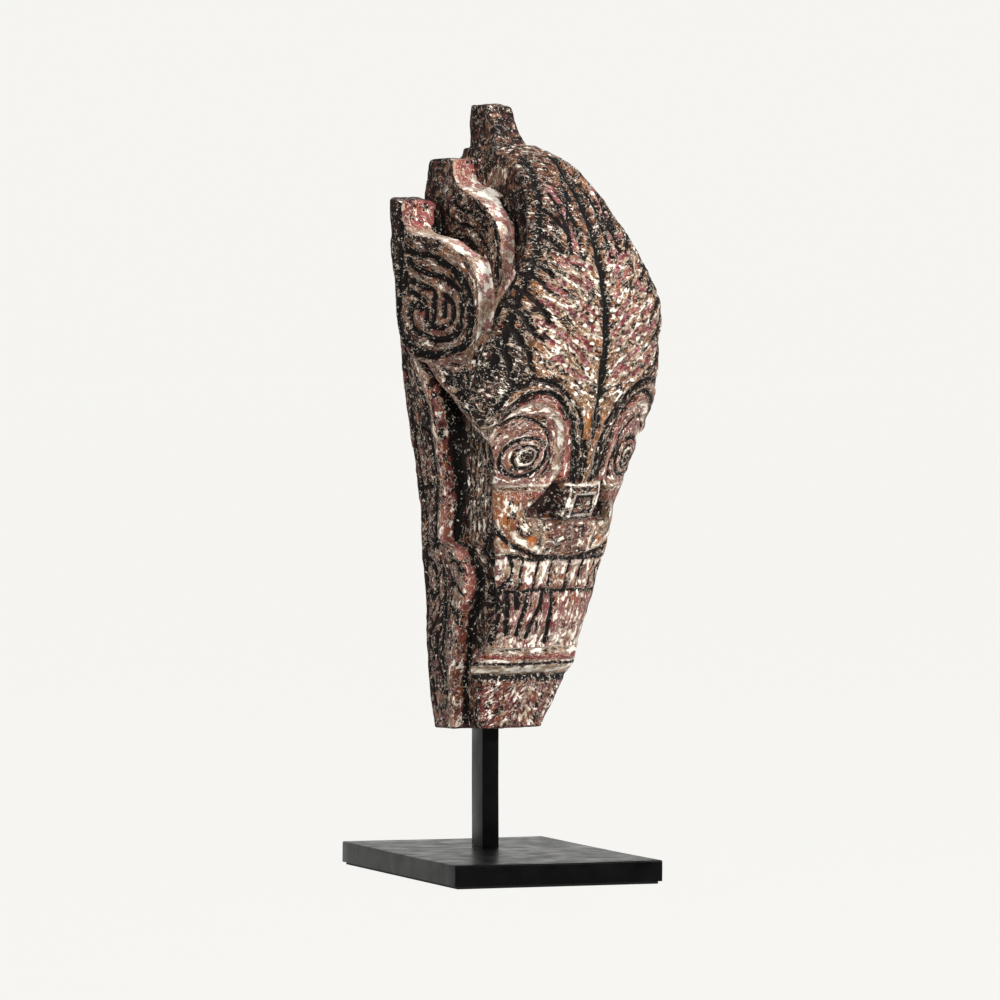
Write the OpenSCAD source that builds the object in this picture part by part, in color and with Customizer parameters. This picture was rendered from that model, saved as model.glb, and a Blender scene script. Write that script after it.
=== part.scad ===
// Carved and painted wooden beast head, turning on a pin above a black steel display stand.
// Millimetres. Z is up, the stand's narrow front edge faces -Y, and Z = 0 is the resting plane.

/* [Base] */
// Width of the base, left to right
base_w = 187; // [170:1:210]
// Depth of the base, front to back
base_d = 300; // [270:1:330]
// Height of the folded steel pan
pan_h = 18; // [16:0.5:24]
// Thickness of the steel sheet
sheet_t = 2; // [1.5:0.5:2]
// Thickness of the felt under the base
felt_t = 2.3; // [2:0.1:3]

/* [Post] */
// Width of the rectangular tube
post_w = 15; // [15:1:18]
// Depth of the rectangular tube
post_d = 30; // [28:1:36]
// Wall of the rectangular tube
post_wall = 1.5; // [1:0.5:1.5]
// Distance of the post to the right of the base's middle
post_x = 6; // [-10:1:10]
// Distance of the post behind the base's middle
post_y = 54; // [40:1:60]
// Height of the carving's underside above the resting plane
wood_z = 125; // [115:1:140]

/* [Pin] */
// Diameter of the pin that the head turns on
pin_d = 12; // [10:1:13]
// Length of the pin above the post
pin_len = 70; // [60:1:80]
// Radial clearance between the pin and its sleeve
pin_gap = 0.05; // [0.03:0.01:0.08]
// Wall of the sleeve in the wood
sleeve_wall = 2; // [1.5:0.5:3]

/* [Head] */
// How far the head is turned on its pin, from the front of the base towards the right
head_turn = 20; // [0:1:45]
// Height of the side prongs above the underside
side_prong_h = 458; // [455:1:460]
// Height of the middle pair of prongs above the underside
mid_prong_h = 494; // [480:1:510]
// Height of the centre prong, the highest point of the carving
top_prong_h = 539; // [520:1:560]
// How far the flat back lies behind the pin
back_f = 22; // [20:1:30]

/* [Hidden] */
$fn = 48;

// Base stack, from the resting plane up
pan_z = felt_t;
base_h = felt_t + pan_h;
core_t = pan_h - sheet_t;
core_gap = 0.2;
felt_inset = 3;

// How far a cutting shape runs past the face that it opens
over = 1;

// Post and its end blocks
washer_t = 1.5;
washer_d = 20;
washer_bore = pin_d + 4 * pin_gap;
post_top_z = wood_z - washer_t;
post_h = post_top_z - base_h;
block_gap = 0.1;
block_h = 24;
block_w = post_w - 2 * post_wall - 2 * block_gap;
block_d = post_d - 2 * post_wall - 2 * block_gap;

// Fasteners: M6 screws up into the foot block, an M8 thread under the pin
bolt_d = 6;
bolt_len = 25;
bolt_pitch = 15;
bolt_head_af = 10;
bolt_head_h = 4;
bolt_washer_d = 12;
bolt_washer_t = 1.6;
bolt_hole_d = 6.6;
counterbore_d = 14;
thread_gap = 0.02;
stud_d = 8;
stud_len = 20;
plate = [60, 80, 4];
plate_z = base_h - sheet_t - plate[2];

// Pin, with a chamfered tip, and its sleeve in the wood
pin_chamfer = 1.5;
sleeve_d = pin_d + 2 * pin_gap + 2 * sleeve_wall;
sleeve_end_room = 4;
sleeve_len = pin_len + sleeve_end_room;
fit_gap = 0.02;

// Head outline as curves of height above the underside. "out" is the distance from the middle
// plane, "fwd" the distance in front of the pin's axis.
back_out = [[0, 50], [69, 62], [155, 76], [242, 86], [285, 92], [328, 100], [371, 108],
            [414, 111], [458, 110]];
back_fwd = [[0, -7], [25, -9], [69, -4], [112, 3], [198, 10], [242, 6], [285, 3], [328, 7],
            [371, 10], [458, 4]];
band_fwd = [[0, 20], [25, 29], [69, 40], [112, 58], [155, 50], [242, 41], [285, 42], [328, 22],
            [371, 17], [458, 15]];
rear_out = [[0, 46], [69, 54], [112, 60], [155, 64], [242, 62], [285, 70], [328, 92], [414, 96],
            [458, 82]];
rear_fwd = [[0, 23], [112, 61], [155, 53], [285, 45], [328, 50], [414, 50], [458, 16]];
cheek_out = [[0, 40], [69, 52], [112, 56], [155, 62], [242, 64], [285, 74], [328, 86], [371, 82],
             [414, 80], [458, 58]];
cheek_fwd = [[0, 30], [69, 52], [112, 70], [155, 78], [198, 84], [242, 96], [328, 98], [371, 92],
             [414, 82], [458, 30]];
face_out = [[0, 34], [25, 42], [69, 50], [112, 54], [155, 64], [198, 68], [242, 79], [285, 93],
            [328, 91], [371, 83], [414, 74], [458, 54], [492, 30], [504, 14]];
face_fwd = [[0, 36], [25, 44], [69, 60], [112, 78], [155, 86], [198, 90], [242, 109], [285, 105],
            [328, 112], [371, 119], [414, 104], [458, 70], [492, 42], [504, 30]];
nose_fwd = [[0, 40], [25, 50], [69, 74], [100, 90], [140, 98], [155, 108], [198, 127], [242, 142],
            [285, 152], [328, 160], [371, 163], [400, 156], [414, 150], [434, 141], [458, 126],
            [477, 110], [492, 97], [504, 60]];
roundness = [[0, 2.3], [140, 2.2], [200, 1.6], [242, 1.4], [270, 1.9], [300, 2.3], [504, 2.3]];
crown_back = 3;

// The chamfer of the rear corners: sideways travel for each millimetre forward
back_slope = 0.9;

// Dome above the side prongs: points along its side, and where the row starts as a share of "out"
dome_steps = 5;
dome_start = 0.5;

// Prongs in front view: half widths, heights, and how far back and forward each slab runs
prong_root_h = 440;
prong_root_w = 26;
prong_neck_h = 500;
prong_neck_w = 24;
prong_top_w = 15;
prong_depth = [-3, 21];
mid_prong_root_h = 430;
mid_prong_w = 57;
mid_prong_root_in = 10;
mid_prong_top_in = 13;
mid_prong_fall = 3;
mid_prong_depth = [-11, 20];

// Eyes, each turned a little outwards
eye_out = 56;
eye_fwd = 119;
eye_h = 237;
eye_splay = 12;
eyeball_d = 46;
eyeball_root = 14;
eyeball_proud = 2;
iris_d = 33;
iris_proud = 4;
pupil_d = 11;
pupil_proud = 6;

// Nose: the block over the nostrils and the end of the bridge, as [width, depth, height] boxes
nose_tip = [28, 40, 26];
nose_tip_fwd = 134;
nose_tip_h = 178;
bridge_end = [18, 30, 4];
bridge_fwd = 142;
bridge_h = 262;

// Lips: half widths at the lower and upper edge, heights, and how far back and forward each runs
upper_lip_w = [30, 30];
upper_lip_h = [122, 134];
upper_lip_depth = [70, 99];
lower_lip_w = [32, 34];
lower_lip_h = [58, 70];
lower_lip_depth = [50, 79];

front_steps = 9;
ring_heights = [0, 12, 25, 40, 55, 69, 84, 98, 112, 127, 141, 155, 170, 184, 198, 213, 228, 242,
                256, 270, 285, 300, 314, 328, 343, 357, 371, 386, 400, 414, 426, 437, 448, 458,
                458.5, 468, 477, 485, 492, 499, 504];

// One side of a horizontal section, from the middle of the back round to the middle of the front
function front_arc(h) =
    let (out = lookup(h, face_out), fwd = lookup(h, face_fwd), nose = lookup(h, nose_fwd),
         power = 2 / lookup(h, roundness))
    [for (i = [0:front_steps - 1])
        let (t = 90 * i / front_steps)
        [out * pow(cos(t), power), fwd + (nose - fwd) * pow(sin(t), power)]];

function body_half(h) =
    let (out = lookup(h, back_out), fwd = lookup(h, back_fwd))
    concat([[out - back_slope * (fwd + back_f), -back_f], [out, fwd], [out, lookup(h, band_fwd)],
            [lookup(h, rear_out), lookup(h, rear_fwd)], [lookup(h, cheek_out), lookup(h, cheek_fwd)]],
           front_arc(h));

// Above the side prongs only the dome goes on, so the back points close in behind it
function dome_half(h) =
    let (out = lookup(h, face_out), fwd = lookup(h, face_fwd))
    concat([for (i = [0:dome_steps - 1])
                let (share = i / dome_steps)
                [out * (dome_start + (1 - dome_start) * share),
                 -crown_back + (fwd + crown_back) * share]],
           front_arc(h));

function half(h) = h > side_prong_h ? dome_half(h) : body_half(h);

function ring(h) =
    let (side = half(h), n = len(side))
    concat([for (p = side) [p[0], -p[1], h]], [[0, -lookup(h, nose_fwd), h]],
           [for (i = [n - 1:-1:0]) [-side[i][0], -side[i][1], h]]);

module loft(rings) {
    n = len(rings[0]);
    middle = (n - 1) / 2;
    last = (len(rings) - 1) * n;
    points = [for (r = rings) each r];
    walls = [for (k = [0:len(rings) - 2], i = [0:n - 1])
        let (a = k * n + i, b = k * n + (i + 1) % n)
        each [[a, b, a + n], [b, b + n, a + n]]];
    cap = [for (i = [0:middle - 1])
        each concat([[i, i + 1, n - 1 - i]], i < middle - 1 ? [[i + 1, n - 2 - i, n - 1 - i]] : [])];
    bottom = [for (f = cap) [f[0], f[2], f[1]]];
    top = [for (f = cap) [last + f[0], last + f[1], last + f[2]]];
    polyhedron(points, concat(walls, bottom, top), convexity = 8);
}

module in_head_frame() {
    translate([post_x, post_y, wood_z]) rotate([0, 0, head_turn]) children();
}

module on_both_sides() {
    children();
    mirror([1, 0, 0]) children();
}

// A slab that stands across the head, drawn in front view, from depth[0] forward to depth[1]
module front_slab(depth) {
    translate([0, -depth[0], 0]) rotate([90, 0, 0]) linear_extrude(depth[1] - depth[0]) children();
}

module centre_prong() {
    front_slab(prong_depth)
        polygon([[-prong_neck_w, prong_neck_h], [-prong_root_w, prong_root_h], [prong_root_w, prong_root_h],
                 [prong_neck_w, prong_neck_h], [prong_top_w, top_prong_h], [-prong_top_w, top_prong_h]]);
}

module mid_prongs() {
    on_both_sides() front_slab(mid_prong_depth)
        polygon([[mid_prong_root_in, prong_root_h], [mid_prong_w, mid_prong_root_h],
                 [mid_prong_w, mid_prong_h - mid_prong_fall], [mid_prong_top_in, mid_prong_h]]);
}

module eyes() {
    on_both_sides() translate([eye_out, -eye_fwd, eye_h]) rotate([90, 0, eye_splay]) {
        translate([0, 0, -eyeball_root]) cylinder(d = eyeball_d, h = eyeball_root + eyeball_proud);
        cylinder(d = iris_d, h = iris_proud);
        cylinder(d = pupil_d, h = pupil_proud);
    }
}

module front_box(size, fwd, h) {
    translate([-size[0] / 2, -fwd, h]) cube(size);
}

module nose() {
    hull() {
        front_box(nose_tip, nose_tip_fwd, nose_tip_h);
        front_box(bridge_end, bridge_fwd, bridge_h);
    }
}

module lip(w, h, depth) {
    front_slab(depth) polygon([[-w[0], h[0]], [w[0], h[0]], [w[1], h[1]], [-w[1], h[1]]]);
}

module carved_head() {
    color("#6b4238") in_head_frame() difference() {
        union() {
            loft([for (h = ring_heights) ring(h)]);
            centre_prong();
            mid_prongs();
            eyes();
            nose();
            lip(upper_lip_w, upper_lip_h, upper_lip_depth);
            lip(lower_lip_w, lower_lip_h, lower_lip_depth);
        }
        translate([0, 0, -over]) cylinder(d = sleeve_d + 2 * fit_gap, h = sleeve_len + 2 * over);
    }
}

module socket_sleeve() {
    color("#b08d57") in_head_frame() difference() {
        cylinder(d = sleeve_d, h = sleeve_len);
        translate([0, 0, -over]) cylinder(d = pin_d + 2 * pin_gap, h = sleeve_len + 2 * over);
    }
}

module thrust_washer() {
    color("#d8d4c8") translate([post_x, post_y, post_top_z]) difference() {
        cylinder(d = washer_d, h = washer_t);
        translate([0, 0, -over]) cylinder(d = washer_bore, h = washer_t + 2 * over);
    }
}

module spigot_pin() {
    color("#8a8d90") translate([post_x, post_y, post_top_z]) {
        cylinder(d = pin_d, h = washer_t + pin_len - pin_chamfer);
        translate([0, 0, washer_t + pin_len - pin_chamfer])
            cylinder(d1 = pin_d, d2 = pin_d - 2 * pin_chamfer, h = pin_chamfer);
        translate([0, 0, -stud_len]) cylinder(d = stud_d, h = stud_len);
    }
}

module end_block() {
    translate([-block_w / 2, -block_d / 2, 0]) cube([block_w, block_d, block_h]);
}

module post_top_block() {
    color("#77797c") translate([post_x, post_y, post_top_z - block_h]) difference() {
        end_block();
        translate([0, 0, -over]) cylinder(d = stud_d + 2 * thread_gap, h = block_h + 2 * over);
    }
}

module post_tube() {
    color("#18191b") translate([post_x, post_y, base_h]) difference() {
        translate([-post_w / 2, -post_d / 2, 0]) cube([post_w, post_d, post_h]);
        translate([-post_w / 2 + post_wall, -post_d / 2 + post_wall, -over])
            cube([post_w - 2 * post_wall, post_d - 2 * post_wall, post_h + 2 * over]);
    }
}

module at_bolts() {
    for (side = [-1, 1]) translate([post_x, post_y + side * bolt_pitch / 2, 0]) children();
}

module bolt_holes(d, from_z, to_z) {
    at_bolts() translate([0, 0, from_z]) cylinder(d = d, h = to_z - from_z);
}

module post_foot_block() {
    color("#77797c") difference() {
        translate([post_x, post_y, base_h]) end_block();
        bolt_holes(bolt_d + 2 * thread_gap, base_h - over, base_h + block_h + over);
    }
}

module foot_bolts() {
    color("#9a9da0") at_bolts() {
        translate([0, 0, plate_z - bolt_washer_t]) cylinder(d = bolt_d, h = bolt_len);
        translate([0, 0, plate_z - bolt_washer_t - bolt_head_h])
            cylinder(d = bolt_head_af / cos(30), h = bolt_head_h, $fn = 6);
    }
}

module foot_washers() {
    color("#b9bcbe") at_bolts() translate([0, 0, plate_z - bolt_washer_t]) difference() {
        cylinder(d = bolt_washer_d, h = bolt_washer_t);
        translate([0, 0, -over]) cylinder(d = bolt_hole_d, h = bolt_washer_t + 2 * over);
    }
}

module backing_plate() {
    color("#5b5e61") difference() {
        translate([post_x - plate[0] / 2, post_y - plate[1] / 2, plate_z]) cube(plate);
        bolt_holes(bolt_hole_d, plate_z - over, base_h);
    }
}

module centred_box(w, d, h, z) {
    translate([-w / 2, -d / 2, z]) cube([w, d, h]);
}

module base_pan() {
    color("#151618") difference() {
        centred_box(base_w, base_d, pan_h, pan_z);
        centred_box(base_w - 2 * sheet_t, base_d - 2 * sheet_t, core_t + over, pan_z - over);
        bolt_holes(bolt_hole_d, base_h - sheet_t - over, base_h + over);
    }
}

module base_core() {
    inner_w = base_w - 2 * sheet_t - 2 * core_gap;
    inner_d = base_d - 2 * sheet_t - 2 * core_gap;
    color("#a98860") difference() {
        centred_box(inner_w, inner_d, core_t, pan_z);
        translate([post_x - plate[0] / 2 - core_gap, post_y - plate[1] / 2 - core_gap, plate_z])
            cube([plate[0] + 2 * core_gap, plate[1] + 2 * core_gap, plate[2] + over]);
        bolt_holes(counterbore_d, pan_z - over, plate_z + over);
    }
}

module base_felt() {
    color("#202020") centred_box(base_w - 2 * felt_inset, base_d - 2 * felt_inset, felt_t, 0);
}

carved_head();
socket_sleeve();
thrust_washer();
spigot_pin();
post_top_block();
post_tube();
post_foot_block();
foot_bolts();
foot_washers();
backing_plate();
base_pan();
base_core();
base_felt();
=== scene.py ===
import math

import bmesh
import bpy
import numpy as np
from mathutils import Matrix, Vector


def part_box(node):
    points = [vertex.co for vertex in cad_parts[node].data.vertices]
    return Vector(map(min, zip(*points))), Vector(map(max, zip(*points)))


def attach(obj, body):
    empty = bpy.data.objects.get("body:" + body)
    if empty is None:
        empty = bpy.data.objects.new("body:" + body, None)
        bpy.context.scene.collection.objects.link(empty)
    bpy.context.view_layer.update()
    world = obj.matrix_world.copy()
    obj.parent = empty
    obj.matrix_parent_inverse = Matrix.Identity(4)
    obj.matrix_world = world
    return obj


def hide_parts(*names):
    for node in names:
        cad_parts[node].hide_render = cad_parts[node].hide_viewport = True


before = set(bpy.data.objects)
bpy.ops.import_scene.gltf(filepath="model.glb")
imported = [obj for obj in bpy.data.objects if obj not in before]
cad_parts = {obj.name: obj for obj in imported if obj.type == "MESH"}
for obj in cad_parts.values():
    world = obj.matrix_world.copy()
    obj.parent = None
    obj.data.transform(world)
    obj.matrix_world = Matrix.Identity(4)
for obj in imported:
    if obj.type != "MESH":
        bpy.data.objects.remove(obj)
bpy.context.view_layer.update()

import openvdb
from mathutils import Vector
from types import SimpleNamespace as Form

# A carved, painted and worn wooden beast head that turns on a pin above a black steel stand.
# The carving is worked out in millimetres in its own frame: l is out from the middle plane, f is
# forward of the pin's axis, and h is up from the underside. Everything else is in metres.

MM = 0.001
HEAD_TURN = math.radians(20)
PIN = Vector(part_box("spigot_pin")[0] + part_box("spigot_pin")[1]) / 2
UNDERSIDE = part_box("carved_head")[0].z
PITCH = 1.15
CREAM, INK = "#f9f1e4", "#060403"
MASK_DEPTH, MASK_TOP = 14, 504.5   # how deep the mask's ring is, and the height of its top
BORE_ROOM, BORE_DEEPER = 0.3, 0.5  # how much wider and deeper the hole is than the sleeve in it
ROUGHNESS = [(0.8, 14), (0.6, 6), (0.35, 2.6)]     # height and width of the lumps of the surface
CHIP, CHIP_RADIUS = (-4, 44, -3), 9    # a chip knocked out of the lower front edge
SIDE_SHIFT = 40      # sets the streaks of one half apart from those of the other


# -------- plane geometry

def level(pairs, spread=5.0):
    """A smooth function of height from a few (height, value) pairs."""
    heights = np.arange(-30.0, 580.0, 1.0)
    values = np.interp(heights, *zip(*pairs))
    kernel = np.exp(-0.5 * (np.arange(-15, 16) / spread) ** 2)
    values = np.convolve(np.pad(values, 15, "edge"), kernel / kernel.sum(), "valid")
    return lambda h: np.interp(h, heights, values)


def flowing(points, steps=5):
    """The points of a smooth line through a few points."""
    p = np.array([points[0], *points, points[-1]], float)
    line = [p[1]]
    for a, b, c, d in zip(p, p[1:], p[2:], p[3:]):
        for t in np.arange(1, steps + 1) / steps:
            line.append(0.5 * (2 * b + (c - a) * t + (2 * a - 5 * b + 4 * c - d) * t ** 2
                               + (3 * b - a - 3 * c + d) * t ** 3))
    return np.array(line)


def distance(u, v, points):
    """How far each place is from a line through the points."""
    best = np.full(u.shape, 1e4)
    for (ax, ay), (bx, by) in zip(points, points[1:]):
        dx, dy = bx - ax, by - ay
        run = dx * dx + dy * dy
        if run > 1e-9:
            t = np.clip(((u - ax) * dx + (v - ay) * dy) / run, 0, 1)
            best = np.minimum(best, (u - ax - t * dx) ** 2 + (v - ay - t * dy) ** 2)
    return np.sqrt(best)


def outline(u, v, points):
    """Signed distance to a closed outline, below 0 inside."""
    inside = np.zeros(u.shape, bool)
    for (ax, ay), (bx, by) in zip(points, [*points[1:], points[0]]):
        if ay != by:
            inside ^= ((ay > v) != (by > v)) & (u < (bx - ax) * (v - ay) / (by - ay) + ax)
    away = distance(u, v, [*points, points[0]])
    return np.where(inside, -away, away)


def gouge(away, half):
    """1 on a gouged line and 0 beside it, from how far each place is from the line's middle."""
    return np.clip(1.25 - (away / half) ** 2, 0, 1)


def stroke(u, v, points, width):
    return gouge(distance(u, v, flowing(points)), width / 2)


def strokes(u, v, lines, width):
    return np.max([stroke(u, v, line, width) for line in lines], axis=0)


def step(x, low, high):
    t = np.clip((x - low) / (high - low), 0, 1)
    return t * t * (3 - 2 * t)


def within(x, low, full, last, high):
    """1 from `full` to `last`, falling to 0 at `low` and `high`."""
    return step(x, low, full) * step(-x, -high, -last)


def near(x, centre, width):
    return np.clip(1.4 - np.abs(x - centre) / width, 0, 1)


def bump_at(u, v, centre, radii):
    """A smooth mound, 1 at its centre and 0 past its radii."""
    r = ((u - centre[0]) / radii[0]) ** 2 + ((v - centre[1]) / radii[1]) ** 2
    return np.clip(1 - r, 0, 1) ** 1.5


def drift(u, v, seed, size=1.0, waves=(22, 80)):
    """The slow wander of hand carving, about `size` mm either way."""
    rng = np.random.default_rng(seed)
    total = 0
    for _ in range(7):
        angle, wave, phase = rng.uniform(0, math.tau), rng.uniform(*waves), rng.uniform(0, math.tau)
        total = total + np.sin((u * math.cos(angle) + v * math.sin(angle)) * math.tau / wave + phase)
    return total * size / 2.6


# -------- the head's form

# Each is a few measured (height, value) pairs: half widths, or places forward of the pin.
back_out = level([(0, 50), (69, 62), (112, 69), (155, 76), (242, 86), (285, 92), (328, 100),
                  (371, 108), (414, 111), (458, 110)])
back_fwd = level([(0, -7), (25, -9), (69, -4), (112, 3), (198, 10), (242, 6), (285, 3), (328, 7),
                  (371, 10), (458, 4)])
band_front = level([(0, 18), (43, 24), (65, 34), (78, 39), (95, 43), (108, 50), (121, 57),
                    (134, 61), (147, 60), (156, 56), (160, 54), (164, 36), (181, 39), (198, 43),
                    (216, 47), (242, 44), (268, 42), (302, 38), (330, 24)], 1.6)
mask_out = level([(0, 34), (25, 42), (45, 50), (55, 54), (69, 50), (112, 53), (140, 57), (158, 61),
                  (198, 67), (214, 72), (242, 80), (256, 84), (263, 94), (270, 97), (285, 101),
                  (300, 100), (315, 99), (328, 96), (345, 91), (371, 83), (397, 69), (414, 60),
                  (436, 50), (457, 40), (482, 31), (496, 25), (504, 16)], 2.5)
mask_fwd = level([(0, 34), (25, 42), (45, 44), (55, 46), (69, 62), (112, 80), (140, 84), (158, 88),
                  (198, 92), (214, 98), (242, 108), (256, 106), (270, 100), (285, 100), (300, 104),
                  (315, 109), (328, 112), (345, 121), (371, 129), (397, 131), (414, 128),
                  (436, 118), (457, 106), (482, 83), (496, 56), (504, 35)], 3)
nose_fwd = level([(0, 40), (25, 50), (50, 66), (69, 74), (100, 90), (140, 98), (155, 108),
                  (198, 127), (242, 142), (285, 152), (328, 160), (371, 163), (400, 156),
                  (414, 150), (434, 141), (458, 126), (477, 110), (492, 97), (504, 60)], 3)
roundness = level([(0, 2.3), (140, 2.2), (200, 1.6), (242, 1.4), (270, 1.9), (300, 2.3), (504, 2.3)])
core_out = level([(0, 34), (45, 41), (69, 45), (91, 46), (118, 49), (134, 53), (150, 57), (165, 61),
                  (285, 63), (310, 68), (345, 70), (371, 64), (388, 56), (414, 45), (436, 37),
                  (458, 31), (482, 27), (500, 24), (504, 22)], 4)
brow_out = level([(240, 76), (250, 77), (262, 84), (275, 89), (290, 93), (310, 95), (345, 90)], 3)
rim1_t = level([(320, 7), (341, 11), (354, 14), (362, 17), (371, 19), (380, 18), (388, 17),
                (397, 17), (406, 19), (423, 20), (432, 27), (440, 38), (458, 39)], 2.5)
rim2_t = level([(340, 8), (388, 11), (401, 13), (414, 17), (436, 20), (450, 22), (458, 26),
                (468, 34), (494, 36)], 3)
petal2_out = level([(340, 63), (371, 66), (388, 66), (414, 65), (436, 63), (458, 61), (470, 58),
                    (488, 55), (494, 53)])
centre_out = level([(380, 40), (430, 36), (470, 28), (500, 17), (520, 15), (539, 15)])
back_plane = level([(0, -22), (456, -22), (459, -11), (492, -11), (496, -3)], 0.8)


def mask_wide(h, side):
    """The mask's half width. The brow on the far side of the block was cut closer."""
    return mask_out(h) - 6.5 * (side > 0) * within(h, 256, 270, 338, 356)


PETAL1 = [(-40, 458), (16, 458), (18, 448), (21, 438), (29, 430), (42, 426), (55, 423), (65, 418),
          (76, 411), (84, 402), (89, 390), (91, 378), (91, 360), (90, 345), (86, 328), (80, 318),
          (60, 317), (40, 319), (26, 325), (16, 334), (8, 342), (-40, 342)]
PETAL2 = [(-11, 494), (20, 493), (23, 486), (27, 478), (35, 470), (50, 464), (65, 457), (80, 447),
          (91, 436), (97, 426), (100, 414), (102, 400), (102, 388), (98, 379), (92, 366), (86, 345),
          (80, 330), (-11, 330)]
PRONG = [(-3, 541), (19, 539), (24, 527), (33, 510), (44, 498), (44, 440), (-3, 440)]
BROW_MASS = [(14, 340), (16, 334), (26, 325), (38, 313), (52, 299), (66, 286), (80, 270),
             (92, 254), (100, 246), (116, 244), (116, 345), (102, 345), (95, 330), (88, 320),
             (76, 316), (60, 319), (40, 321), (28, 328)]
SPIRAL = [
    [(20, 418), (27, 413), (34, 411), (46, 409), (57, 403), (66, 397), (74, 388), (80, 378),
     (82, 364), (82, 349), (78, 334), (72, 329), (63, 327), (52, 325), (40, 326), (32, 328),
     (26, 332), (20, 337), (16.5, 343), (16.5, 380), (17, 452)],
    [(23, 408), (31, 399), (42, 393), (54, 391), (62, 388), (69, 382), (73, 373), (74, 362),
     (73, 351), (70, 343), (64, 339), (57, 337), (48, 337), (40, 340), (33, 343), (28, 349),
     (26, 357), (27, 363), (30, 368), (34, 367), (36, 364)],
    [(29, 387), (37, 383), (44, 381), (48, 378), (49, 371), (48, 362), (47, 354), (44, 349),
     (48, 347), (57, 348), (62, 351), (66, 358), (66, 364), (64, 370), (60, 374), (56, 376)],
    [(57, 369), (57, 358)],
    [(27, 379), (34, 374), (39, 369), (41, 362), (41, 356)],
    [(22, 399), (22.5, 388), (22, 377)],
]
BAND_LINES = [
    [(-2, 20), (-4, 60), (3, 100), (11, 150), (15, 200), (11, 242), (9, 285), (12, 320), (15, 338)],
    [(14, 30), (17, 70), (27, 100), (31, 130), (30, 150)],
    [(29, 158), (30, 185), (33, 210), (32, 242), (29, 270), (27, 300)],
    [(12, 259), (20, 262), (30, 258)], [(13, 210), (24, 213), (33, 210)],
    [(12, 163), (22, 160), (31, 164)],
]
SCROLLS = [
    [(8, 140), (15, 150), (22, 141), (22, 126), (16, 117), (9, 122), (7, 133), (8, 140)],
    [(18, 124), (21, 112), (16, 98), (8, 88), (2, 76), (4, 62)],
    [(24, 108), (20, 92), (12, 76), (10, 58), (12, 36)],
    [(42, 146), (50, 148), (57, 138)], [(40, 130), (48, 124), (55, 114)],
    [(36, 108), (42, 98), (46, 84)],
]
MOTIFS = [
    [(68, 158), (74, 168), (83, 170), (88, 160), (83, 150), (75, 147), (68, 158)],
    [(76, 163), (81, 166), (84, 159), (80, 153), (76, 158), (76, 163)],
    [(84, 148), (92, 151), (96, 142), (93, 133), (86, 134), (84, 148)],
    [(66, 133), (76, 131), (85, 124), (89, 112), (88, 97), (84, 84), (80, 73)],
    [(62, 120), (66, 100), (63, 84), (60, 74)], [(72, 118), (76, 104), (73, 88)],
    [(58, 71), (68, 74), (80, 72)], [(58, 60), (70, 62), (82, 57)],
]
BROW_SCROLLS = [
    [(44, 312), (50, 318), (58, 314), (62, 305), (56, 298), (50, 303)],
    [(64, 318), (70, 322), (77, 316), (78, 304), (72, 296), (66, 302), (68, 310)],
    [(60, 290), (68, 287), (76, 291), (83, 287)],
    [(88, 330), (89, 315), (88, 300), (88, 288)],
    [(96, 330), (101, 318), (100, 303), (95, 294)], [(75, 280), (84, 276), (92, 268)],
]
PETAL2_MARKS = [
    [(30, 462), (36, 454), (46, 448), (58, 446), (70, 440), (78, 430)],
    [(24, 446), (34, 438), (48, 436), (60, 432), (72, 424), (82, 412)],
    [(88, 430), (93, 416), (95, 402), (95, 390)], [(60, 456), (66, 449), (74, 446)],
]


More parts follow.
